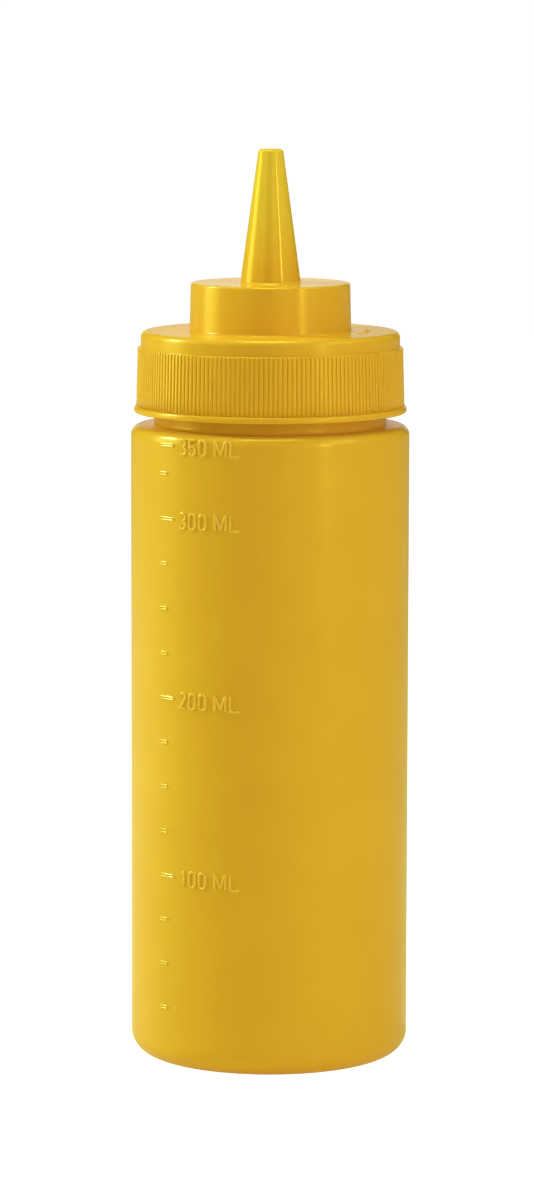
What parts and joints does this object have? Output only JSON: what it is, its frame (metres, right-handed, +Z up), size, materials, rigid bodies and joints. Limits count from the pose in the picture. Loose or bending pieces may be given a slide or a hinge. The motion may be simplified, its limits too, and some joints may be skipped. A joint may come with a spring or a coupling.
{
  "type": "sauce dispenser bottle",
  "caption": "Squeeze bottle with a straight round body and a moulded volume scale, shut by a finely ribbed screw cap with a round boss and a tapered pouring nozzle.",
  "frame": {"origin": "centre of the base, on the surface that the bottle stands on", "axes": "+Z up along the bottle's axis to the nozzle's tip, -Y the front, whose left half (-X) carries the volume scale"},
  "size_m": [0.06, 0.06, 0.1965],
  "materials": {
    "bottle_plastic": "soft gloss, slightly waxy moulded plastic",
    "cap_plastic": "soft gloss moulded plastic"
  },
  "bodies": {
    "root": {"bottle": "bottle_plastic", "cap": "cap_plastic"}
  },
  "joints": []
}
